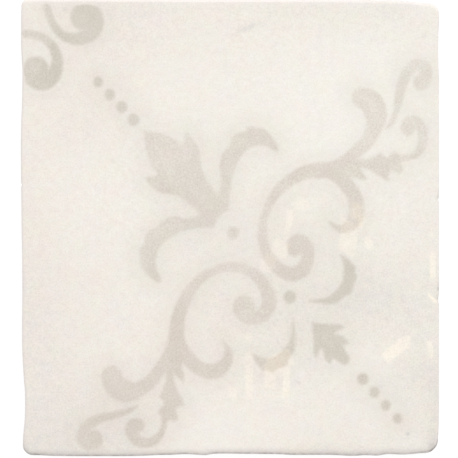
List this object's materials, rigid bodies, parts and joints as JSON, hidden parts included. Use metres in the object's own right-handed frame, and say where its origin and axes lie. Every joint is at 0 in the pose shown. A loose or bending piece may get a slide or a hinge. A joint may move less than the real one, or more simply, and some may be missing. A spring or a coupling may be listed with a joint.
{
  "type": "decorative tile",
  "caption": "Flat ceramic wall tile with hand-finished sides, rounded corners and arris, a gently rolling ivory glaze and a printed warm grey scroll ornament.",
  "frame": {"origin": "under the middle of the tile's box, on the flat back", "axes": "+X across the tile's width, +Y up its longer side as the picture shows it, +Z out of the glazed face"},
  "size_m": [0.119, 0.13, 0.0092],
  "materials": {
    "glaze": "glossy ivory glaze over a fired clay body, with a warm grey scroll ornament printed under the glaze on the face and bare biscuit on the back"
  },
  "bodies": {
    "root": {"tile": "glaze"}
  },
  "joints": []
}
